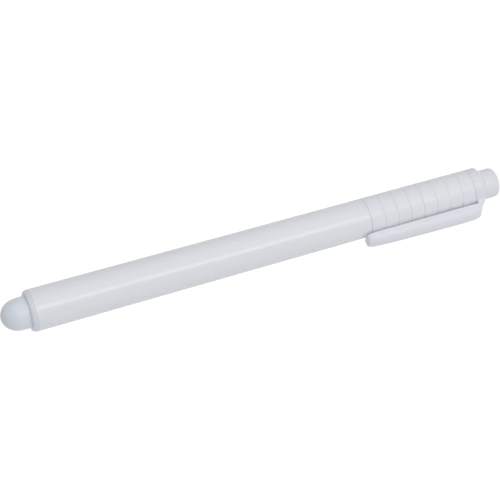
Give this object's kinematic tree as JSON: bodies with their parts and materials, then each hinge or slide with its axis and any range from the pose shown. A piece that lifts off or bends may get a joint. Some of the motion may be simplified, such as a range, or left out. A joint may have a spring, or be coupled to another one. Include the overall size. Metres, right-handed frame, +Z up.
{
  "type": "counterfeit detector pen",
  "caption": "Capped felt-tip pen for testing banknotes: tapered round barrel with a domed rear plug, ribbed pull-off cap with a side clip, fibre nib and ink reservoir inside.",
  "frame": {"origin": "middle of the box round the resting pen, on the plane it lies on", "axes": "+X along the pen towards the end of the cap, +Y across it, away from the clip, +Z up from the plane"},
  "size_m": [0.1382, 0.014, 0.0112],
  "materials": {
    "barrel_plastic": "satin",
    "plug_plastic": "satin",
    "ink_fibre": "wet fibre",
    "wrap_film": "glossy",
    "holder_plastic": "satin",
    "nib_fibre": "wet fibre",
    "cap_plastic": "satin",
    "liner_plastic": "matte",
    "end_plug_plastic": "satin",
    "clip_plastic": "satin"
  },
  "bodies": {
    "barrel": {"barrel": "barrel_plastic", "rear_plug": "plug_plastic", "ink_reservoir": "ink_fibre", "reservoir_wrap": "wrap_film", "nib_holder": "holder_plastic", "nib": "nib_fibre"},
    "cap_seal": {"cap_liner": "liner_plastic"},
    "cap": {"cap_shell": "cap_plastic", "clip_ring": "clip_plastic", "cap_end_plug": "end_plug_plastic"},
    "clip": {"clip_arm": "clip_plastic"}
  },
  "joints": [
    {"name": "cap_pull", "type": "slide", "parent": "barrel", "child": "cap_seal", "axis": [1, 0, 0], "range_m": [0, 0.045]},
    {"name": "cap_turn", "type": "hinge", "parent": "cap_seal", "child": "cap", "pos_m": [0, 0.00137, 0.0056], "axis": [-1, 0, 0], "continuous": true},
    {"name": "clip_flex", "type": "hinge", "parent": "cap", "child": "clip", "pos_m": [0.06123, -0.00504, 0.00279], "axis": [0, -0.4019, 0.9157], "range_deg": [0, 4.5], "stiffness_Nm_per_rad": 3.3}
  ]
}
